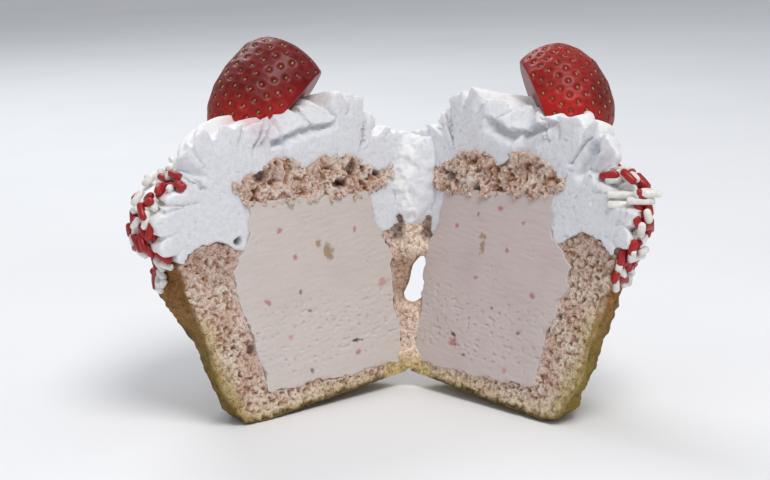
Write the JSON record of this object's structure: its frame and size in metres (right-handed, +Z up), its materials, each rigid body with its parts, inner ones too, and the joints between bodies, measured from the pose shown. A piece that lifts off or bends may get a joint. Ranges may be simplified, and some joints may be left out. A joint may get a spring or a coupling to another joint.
{
  "type": "halved ice cream cupcake",
  "caption": "Filled cupcake cut down the middle and opened like a book, with an ice cream core, piped cream, a rim of sprinkles and strawberry pieces on top.",
  "frame": {"origin": "centre of the bounding box, on the surface that the two halves stand on", "axes": "+Z up, +X towards the viewer's right-hand half, -Y towards the viewer, into the wedge between the cut faces"},
  "size_m": [0.1272, 0.0662, 0.0888],
  "materials": {
    "cake": "open pink-beige crumb with a thin yellow-brown baked crust",
    "cake_lid": "torn brown-pink crumb",
    "cream": "soft, slightly moist white",
    "ice_cream": "smooth knife-cut, pale pink with berry bits",
    "strawberry": "glossy deep red with yellow seeds in dimples"
  },
  "bodies": {
    "root": {"cake": "cake", "cream": "cream", "ice_cream_left": "ice_cream", "ice_cream_right": "ice_cream", "lid_left": "cake_lid", "lid_right": "cake_lid", "strawberry_left": "strawberry", "strawberry_right": "strawberry"}
  },
  "joints": []
}
